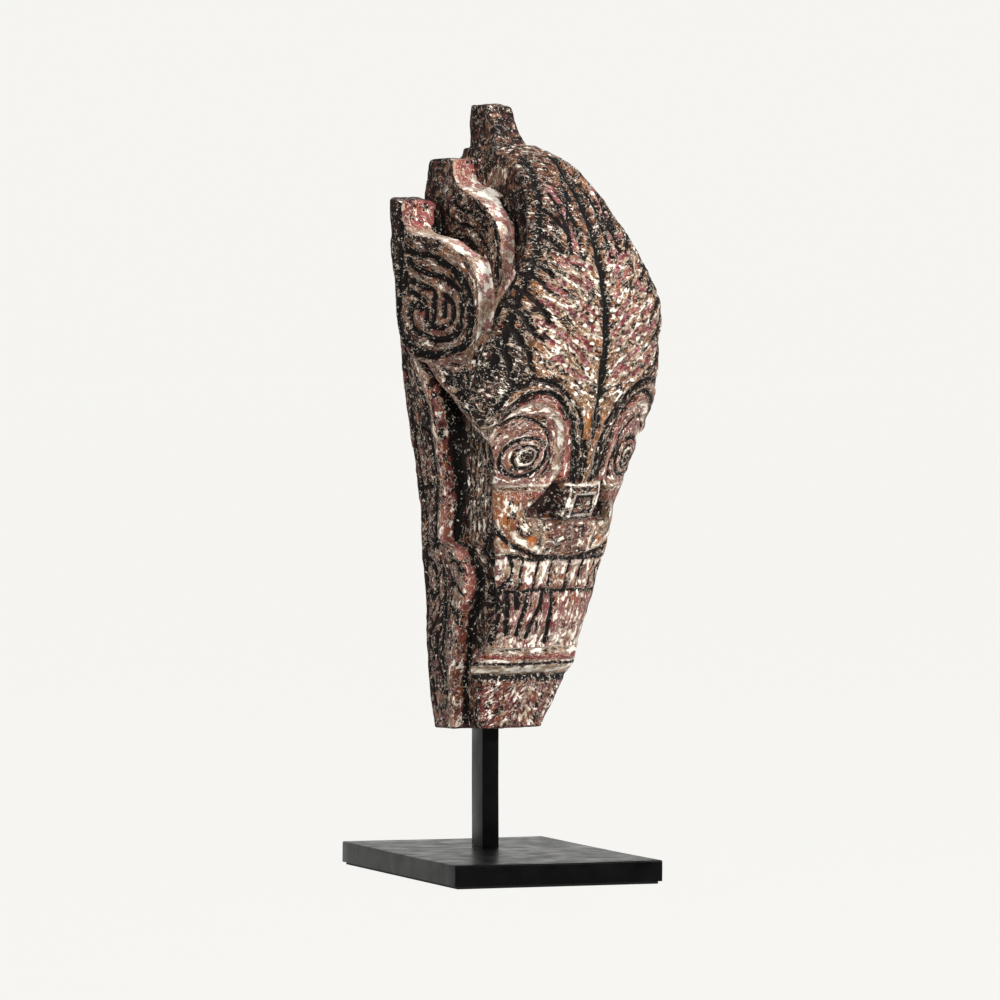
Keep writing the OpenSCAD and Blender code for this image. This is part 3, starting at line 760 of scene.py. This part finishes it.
def attribute(mesh, name, values):
    layer = mesh.color_attributes.new(name, "FLOAT_COLOR", "POINT")
    rgba = np.ones((len(mesh.vertices), 4), np.float32)
    rgba[:, :values.shape[1]] = values
    layer.data.foreach_set("color", rgba.ravel())


def make_carving():
    points, quads = largest_piece(*carve())
    mesh = bpy.data.meshes.new("carving")
    mesh.vertices.add(len(points))
    mesh.vertices.foreach_set("co", to_world(points).astype(np.float32).ravel())
    mesh.loops.add(len(quads) * 4)
    mesh.loops.foreach_set("vertex_index", quads.astype(np.int32).ravel())
    mesh.polygons.add(len(quads))
    mesh.polygons.foreach_set("loop_start", np.arange(len(quads), dtype=np.int32) * 4)
    mesh.update(calc_edges=True)
    mesh.validate()
    mesh.shade_smooth()
    l, f, h = points.T
    coat = Coat(len(points))
    edge = mask_fwd(h)
    on_face = step(f - edge, -3.0, -1.0) * (h < 505) * (h > 0.5)
    for side in (-1, 1):
        half = l > 0 if side > 0 else l <= 0
        part = Coat(int(half.sum()))
        paint_rear(part, l[half], f[half], h[half], side, 1 - on_face[half])
        paint_face(part, l[half], h[half], on_face[half])
        coat.colour[half], coat.cream[half], coat.dark[half] = part.colour, part.cream, part.dark
        coat.across[half] = part.across + SIDE_SHIFT * side
    bend = hollows(mesh)
    attribute(mesh, "paint", coat.colour)
    # The second channel, how much is dark, holds dark paint and also the painted shade laid in slots,
    # grooves and hollows.
    attribute(mesh, "wear", np.stack([coat.cream, coat.dark, bend / 2 + 0.5], 1))
    across = mesh.attributes.new("across", "FLOAT", "POINT")
    across.data.foreach_set("value", coat.across.astype(np.float32))
    return put("head_carving", mesh)


def largest_piece(points, quads):
    """Leaves out any loose crumb, so that the carving is one closed surface."""
    here, there = quads.ravel(), np.roll(quads, -1, axis=1).ravel()
    label = np.arange(len(points))
    while True:
        lowest = label.copy()
        np.minimum.at(lowest, here, label[there])
        np.minimum.at(lowest, there, lowest[here])
        lowest = lowest[lowest]
        if (lowest == label).all():
            break
        label = lowest
    keep = label == np.bincount(label).argmax()
    number = np.cumsum(keep) - 1
    return points[keep], number[quads[keep[quads[:, 0]]]]


# -------- materials

class Nodes:
    """A short way to build a material's node tree."""

    def __init__(self, name):
        self.material = bpy.data.materials.new(name)
        self.material.use_nodes = True
        self.tree = self.material.node_tree
        self.shader = self.tree.nodes["Principled BSDF"]

    def link(self, value, socket):
        if isinstance(value, bpy.types.NodeSocket):
            self.tree.links.new(value, socket)
        else:
            socket.default_value = value

    def add(self, kind, inputs=(), output=0, **settings):
        node = self.tree.nodes.new(kind)
        for key, value in settings.items():
            setattr(node, key, value)
        for key, value in dict(inputs).items():
            self.link(value, node.inputs[key])
        return node.outputs[output]

    def place(self, stretch=(1, 1, 1)):
        """Object coordinates in millimetres, stretched."""
        where = self.add("ShaderNodeTexCoord", output="Object")
        return self.add("ShaderNodeVectorMath", {0: where, 1: [s / MM for s in stretch]},
                        operation="MULTIPLY")

    def noise(self, size, detail=4.0, rough=0.6, stretch=(1, 1, 1), shift=0.0, bend=0.0):
        """Noise with lumps about `size` mm across, 0 to 1 around 0.5."""
        at = self.add("ShaderNodeVectorMath", {0: self.place(stretch), 1: (shift, shift, shift)},
                      operation="ADD")
        return self.add("ShaderNodeTexNoise", {"Vector": at, "Scale": 1 / size, "Detail": detail,
                                               "Roughness": rough, "Distortion": bend})

    def streaks(self, across, size, detail=3.0, shift=0.0, along=0.3, bend=0.0):
        """Noise drawn out along the strokes, about `size` mm from one streak to the next."""
        at = self.add("ShaderNodeVectorMath", {0: self.place((along,) * 3), 1: (shift,) * 3},
                      operation="ADD")
        return self.add("ShaderNodeTexNoise", {
            "Vector": at, "W": across, "Scale": 1 / size, "Detail": detail, "Roughness": 0.6,
            "Distortion": bend}, noise_dimensions="4D")

    def thin(self, value, width):
        """1 on the thin lines where a noise crosses its middle."""
        away = self.math("ABSOLUTE", self.math("SUBTRACT", value, 0.5))
        return self.band(away, width, width * 0.4)

    def math(self, operation, a, b=0.0):
        return self.add("ShaderNodeMath", {0: a, 1: b}, operation=operation)

    def plus(self, a, b):
        return self.math("ADD", a, b)

    def times(self, a, b):
        return self.math("MULTIPLY", a, b)

    def band(self, value, low, high, to_low=0.0, to_high=1.0):
        return self.add("ShaderNodeMapRange", {"Value": value, "From Min": low, "From Max": high,
                                               "To Min": to_low, "To Max": to_high},
                        interpolation_type="SMOOTHSTEP")

    def mix(self, share, a, b, blend="MIX"):
        node = self.tree.nodes.new("ShaderNodeMix")
        node.data_type, node.blend_type = "RGBA", blend
        for value, socket in ((share, node.inputs[0]), (a, node.inputs[6]), (b, node.inputs[7])):
            self.link(colour(value) if isinstance(value, str) else value, socket)
        return node.outputs[2]

    def finish(self, base, rough, bumps=(), **fixed):
        self.link(colour(base) if isinstance(base, str) else base, self.shader.inputs["Base Color"])
        self.link(rough, self.shader.inputs["Roughness"])
        normal = None
        for height, reach in bumps:
            inputs = {"Height": height, "Distance": reach * MM, "Strength": 1.0}
            if normal is not None:
                inputs["Normal"] = normal
            normal = self.add("ShaderNodeBump", inputs)
        if normal is not None:
            self.link(normal, self.shader.inputs["Normal"])
        for key, value in fixed.items():
            self.shader.inputs[key.replace("_", " ")].default_value = value
        return self.material


def colour(code):
    return [*linear(code), 1.0]


def painted_wood():
    """Old distressed paint: dark ground, thin colour, cream primer in flakes and on worn edges."""
    n = Nodes("painted_wood_paint")
    paint = n.add("ShaderNodeVertexColor", layer_name="paint")
    # The dark share read here includes the painted shade of slots, grooves and hollows.
    wear = n.add("ShaderNodeSeparateColor", {0: n.add("ShaderNodeVertexColor", layer_name="wear")})
    parts = wear.node.outputs
    cream_share, dark_share, bend = parts[0], parts[1], parts[2]
    across = n.add("ShaderNodeAttribute", output="Fac", attribute_name="across")
    grain, soil = n.streaks(across, 3.8, 3, 0, 0.5), n.streaks(across, 4.2, 3, 200, 0.5)
    flecks, blotch = n.noise(2.4, 2, 0.5, shift=40), n.noise(15, 3, 0.6, (1, 1, 0.7), 90, 2)
    tone, hue = n.streaks(across, 7, 4, 140, 0.4), n.noise(15, 4, 0.6, (1, 1, 0.8), 300, 2)
    edge = n.math("SUBTRACT", 0.5, bend)
    lift = n.plus(n.times(edge, 0.36), n.times(blotch, 0.25))
    cream_level = n.plus(n.plus(grain, lift), n.times(cream_share, 0.5))
    cream = n.band(cream_level, 0.898, 0.911)
    sink = n.plus(n.times(edge, -0.45), n.times(blotch, -0.20))
    dark_level = n.plus(n.plus(soil, sink), n.times(dark_share, 0.5))
    dark = n.band(dark_level, 0.608, 0.626)
    scratch = n.times(n.thin(n.streaks(across, 5, 3, 500, 0.6), 0.016),
                     n.band(n.plus(hue, n.times(cream_share, 0.5)), 0.56, 0.62))
    crack = n.times(n.thin(n.streaks(across, 6, 3, 600, 0.6), 0.018),
                   n.band(blotch, 0.62, 0.50))
    speck = n.band(flecks, 0.69, 0.70)
    varied = n.mix(n.band(tone, 0.38, 0.62), paint, n.mix(0.55, paint, "#1f1310"))
    painted = n.band(cream_share, 0.01, 0.06, 0.0, 0.75)
    varied = n.mix(n.times(n.band(hue, 0.50, 0.62, 0.0, 0.66), painted), varied, "#96582a")
    varied = n.mix(n.times(n.band(hue, 0.48, 0.38, 0.0, 0.6), painted), varied, "#7c3634")
    ground = n.mix(n.band(tone, 0.40, 0.60), "#2a1913", "#120b09")
    base = n.mix(dark, varied, n.mix(n.band(dark_share, 0.62, 0.78), ground, INK))
    base = n.mix(n.times(crack, 0.7), base, "#1a100c")
    base = n.mix(cream, base, n.mix(n.band(tone, 0.46, 0.60), CREAM, "#a08268"))
    base = n.mix(n.times(scratch, painted), base, "#e3d5c4")
    base = n.mix(n.times(speck, painted), base, "#f4ebdf")
    height = n.plus(n.times(cream, 0.35), n.times(grain, 0.9))
    height = n.plus(height, n.times(dark, -0.4))
    rough = n.band(n.plus(cream, dark), 0, 1, 0.5, 0.7)
    return n.finish(base, rough, [(height, 0.5)], Specular_IOR_Level=0.2)


def metal(name, base, worn, rough, size):
    """Bare steel or brass with fine wear."""
    n = Nodes(name)
    fine, broad = n.noise(size, 4, 0.6), n.noise(24, 4, 0.55, shift=30)
    shade = n.mix(n.band(broad, 0.35, 0.7, 0, 0.7), base, worn)
    gloss = n.band(n.plus(n.times(fine, 0.4), n.times(broad, 0.6)),
                   0.35, 0.65, rough - 0.07, rough + 0.08)
    return n.finish(shade, gloss, [(fine, 0.02)], Metallic=1.0)


def black_coat():
    """Satin black over steel, a little lighter or darker in broad patches, with a few pale rubs."""
    n = Nodes("black_coat")
    fine, broad = n.noise(0.8, 4, 0.6), n.noise(26, 4, 0.6, shift=30)
    rubs = n.band(n.noise(5, 5, 0.7, (0.5, 1, 1), 80), 0.66, 0.72, 0.0, 0.35)
    shade = n.mix(n.band(broad, 0.4, 0.7, 0, 0.8), "#030304", "#09090a")
    shade = n.mix(rubs, shade, "#2b2a29")
    gloss = n.band(n.plus(n.times(fine, 0.3), n.times(broad, 0.7)),
                   0.35, 0.65, 0.24, 0.40)
    return n.finish(shade, gloss, [(fine, 0.008)], Specular_IOR_Level=0.08)


def matt(name, base, other, rough, size, lift, stretch=(1, 1, 1)):
    n = Nodes(name)
    fibres, clouds = n.noise(size, 5, 0.7, stretch), n.noise(11, 3, 0.6, shift=60)
    shade = n.mix(n.band(fibres, 0.35, 0.65), base, other)
    shade = n.mix(n.band(clouds, 0.4, 0.7, 0, 0.4), shade, other)
    return n.finish(shade, n.band(fibres, 0.3, 0.7, rough - 0.06, rough + 0.06), [(fibres, lift)])


# -------- stand pieces

def sheet_box(name, node, cuts, radius, sheet, ends, wave):
    """Bent sheet metal the size of a CAD node: a box with rounded edges, its faces cut into a grid
    and moved by `wave`, open at the low and high end that `ends` names, `sheet` thick."""
    low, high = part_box(node)
    bm = bmesh.new()
    bmesh.ops.create_cube(bm, size=1.0)
    for v in bm.verts:
        v.co = Vector([low[i] + (v.co[i] + 0.5) * (high[i] - low[i]) for i in range(3)])
    edges = [e for e in bm.edges if not any(
        all(abs(v.co.z - level_z) < 1e-6 for v in e.verts)
        for is_open, level_z in zip(ends, (low.z, high.z)) if is_open)]
    bmesh.ops.bevel(bm, geom=edges, offset=radius, segments=4, profile=0.5, affect="EDGES")
    for axis in range(3):
        for k in range(1, cuts[axis]):
            at, normal = Vector((0, 0, 0)), Vector([float(i == axis) for i in range(3)])
            at[axis] = low[axis] + radius + (high[axis] - low[axis] - 2 * radius) * k / cuts[axis]
            bmesh.ops.bisect_plane(bm, geom=bm.verts[:] + bm.edges[:] + bm.faces[:],
                                   plane_co=at, plane_no=normal)
    for v in bm.verts:
        v.co += wave(v.co)
    open_faces = [f for f in bm.faces if (ends[0] and f.normal.z < -0.9)
                  or (ends[1] and f.normal.z > 0.9)]
    bmesh.ops.delete(bm, geom=open_faces, context="FACES")
    bmesh.ops.recalc_face_normals(bm, faces=bm.faces[:])
    bmesh.ops.solidify(bm, geom=bm.faces[:], thickness=sheet)
    mesh = bpy.data.meshes.new(name)
    bm.to_mesh(mesh)
    bm.free()
    mesh.shade_smooth()
    mesh.set_sharp_from_angle(angle=math.radians(50))
    return put(name, mesh)


def pan_wave(at):
    """Sheet that is a little slack on top and dressed by hand along the welded corners."""
    slack = 0.25 * math.sin(at.x * 31 + 1) * math.cos(at.y * 23 + 0.4)
    side = 0.2 * math.sin(at.y * 41 + at.z * 90)
    return Vector((side * MM if abs(at.x) > 0.09 else 0, 0, slack * MM - 0.25 * MM
                   if at.z > 0.015 else 0))


def tube_wave(at):
    return Vector((0.08 * MM * math.sin(at.z * 60), 0, 0))


def show(obj, body, slot, material, *nodes):
    """Puts a piece on its body with its finish, in place of the CAD nodes named."""
    obj.data.materials.clear()
    obj.data.materials.append(material)
    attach(obj, body)
    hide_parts(*nodes)


def plain_floor():
    """A pale floor that runs back and rises into a backdrop."""
    n = Nodes("floor")
    speck = n.noise(120, 3, 0.5)
    n.finish(n.mix(n.band(speck, 0.3, 0.7), "#1b1b1a", "#1e1d1c"), 0.95, Specular_IOR_Level=0.0)
    n.shader.inputs["Emission Color"].default_value = colour("#f5f4f1")
    n.shader.inputs["Emission Strength"].default_value = 1.0
    mesh = bpy.data.meshes.new("floor")
    profile = [(-30, 0), (30, 0), (38, 2), (42, 8), (43, 30)]
    verts = [(x, y, z) for y, z in profile for x in (-60, 60)]
    faces = [(i, i + 1, i + 3, i + 2) for i in range(0, 2 * len(profile) - 2, 2)]
    mesh.from_pydata(verts, [], faces)
    mesh.materials.append(n.material)
    put("floor", mesh)


# The camera is left of square by CAMERA_TURN and looks down by CAMERA_DIP, in degrees.
CAMERA_AT, CAMERA_TURN, CAMERA_DIP, LENS = (-2.230, -6.212, 0.517), 19.75, 1.679, 275.15
LAMP_TARGET = Vector((0, 0, 0.4))


def lamp(name, at, size, power):
    data = bpy.data.lights.new(name, "AREA")
    data.shape, data.size, data.energy = "DISK", size, power
    obj = put(name, data)
    obj.location = at
    obj.rotation_euler = (LAMP_TARGET - Vector(at)).to_track_quat("-Z", "Y").to_euler()


def light():
    bpy.context.scene.view_settings.view_transform = "Standard"
    world = bpy.data.worlds.new("studio")
    world.use_nodes = True
    world.node_tree.nodes["Background"].inputs[0].default_value = (1, 1, 1, 1)
    world.node_tree.nodes["Background"].inputs[1].default_value = 0.10
    bpy.context.scene.world = world
    lamp("key", (1.7, -2.3, 1.7), 0.6, 76)
    lamp("front", (-0.9, -2.9, 1.5), 0.6, 44)
    lamp("top", (0.2, 0.3, 2.6), 1.2, 22)
    lamp("left", (-2.6, -1.2, 1.2), 0.9, 2)


def camera():
    """At the height of the spirals and a long way off, so that lines stay nearly parallel."""
    data = bpy.data.cameras.new("camera")
    data.sensor_width, data.lens = 36, LENS
    data.clip_start, data.clip_end = 0.1, 200
    obj = put("camera", data)
    obj.location = CAMERA_AT
    obj.rotation_euler = (math.radians(90 - CAMERA_DIP), 0, -math.radians(CAMERA_TURN))
    bpy.context.scene.camera = obj


# -------- putting it together

camera()
light()
plain_floor()

STEEL = metal("bare_steel_worn", "#8d8f91", "#6f7173", 0.38, 0.6)
BLOCK = metal("block_steel", "#76787b", "#5c5e61", 0.45, 0.8)
BRASS = metal("brass_worn", "#a5854b", "#8a6a3a", 0.34, 0.6)
BLACK = black_coat()
NYLON = matt("nylon_skin", "#d3cfc2", "#c4bfb0", 0.5, 1.2, 0.01)
BOARD = matt("fibreboard_cut", "#9d7f5a", "#8a6c48", 0.85, 0.8, 0.05, (1, 1, 0.3))
FELT = matt("felt_fibres", "#1b1b1c", "#262627", 0.95, 0.5, 0.12)

FINISHES = {
    "socket_sleeve": BRASS, "thrust_washer": NYLON, "spigot_pin": STEEL, "post_top_block": BLOCK,
    "post_foot_block": BLOCK, "foot_bolts": STEEL, "foot_washers": STEEL, "backing_plate": BLOCK,
    "base_core": BOARD, "base_felt": FELT, "post_tube": BLACK, "base_pan": BLACK,
}
for node, material in FINISHES.items():
    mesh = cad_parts[node].data
    mesh.materials.clear()
    mesh.materials.append(material)

show(sheet_box("folded_pan", "base_pan", cuts=(9, 14, 2), radius=0.0013, sheet=0.002,
               ends=(True, False), wave=pan_wave),
     "stand", "black_steel", BLACK, "base_pan")
show(sheet_box("square_tube", "post_tube", cuts=(1, 1, 12), radius=0.0016, sheet=0.0015,
               ends=(True, True), wave=tube_wave),
     "stand", "black_steel", BLACK, "post_tube")
show(make_carving(), "head", "painted_wood", painted_wood(), "carved_head")
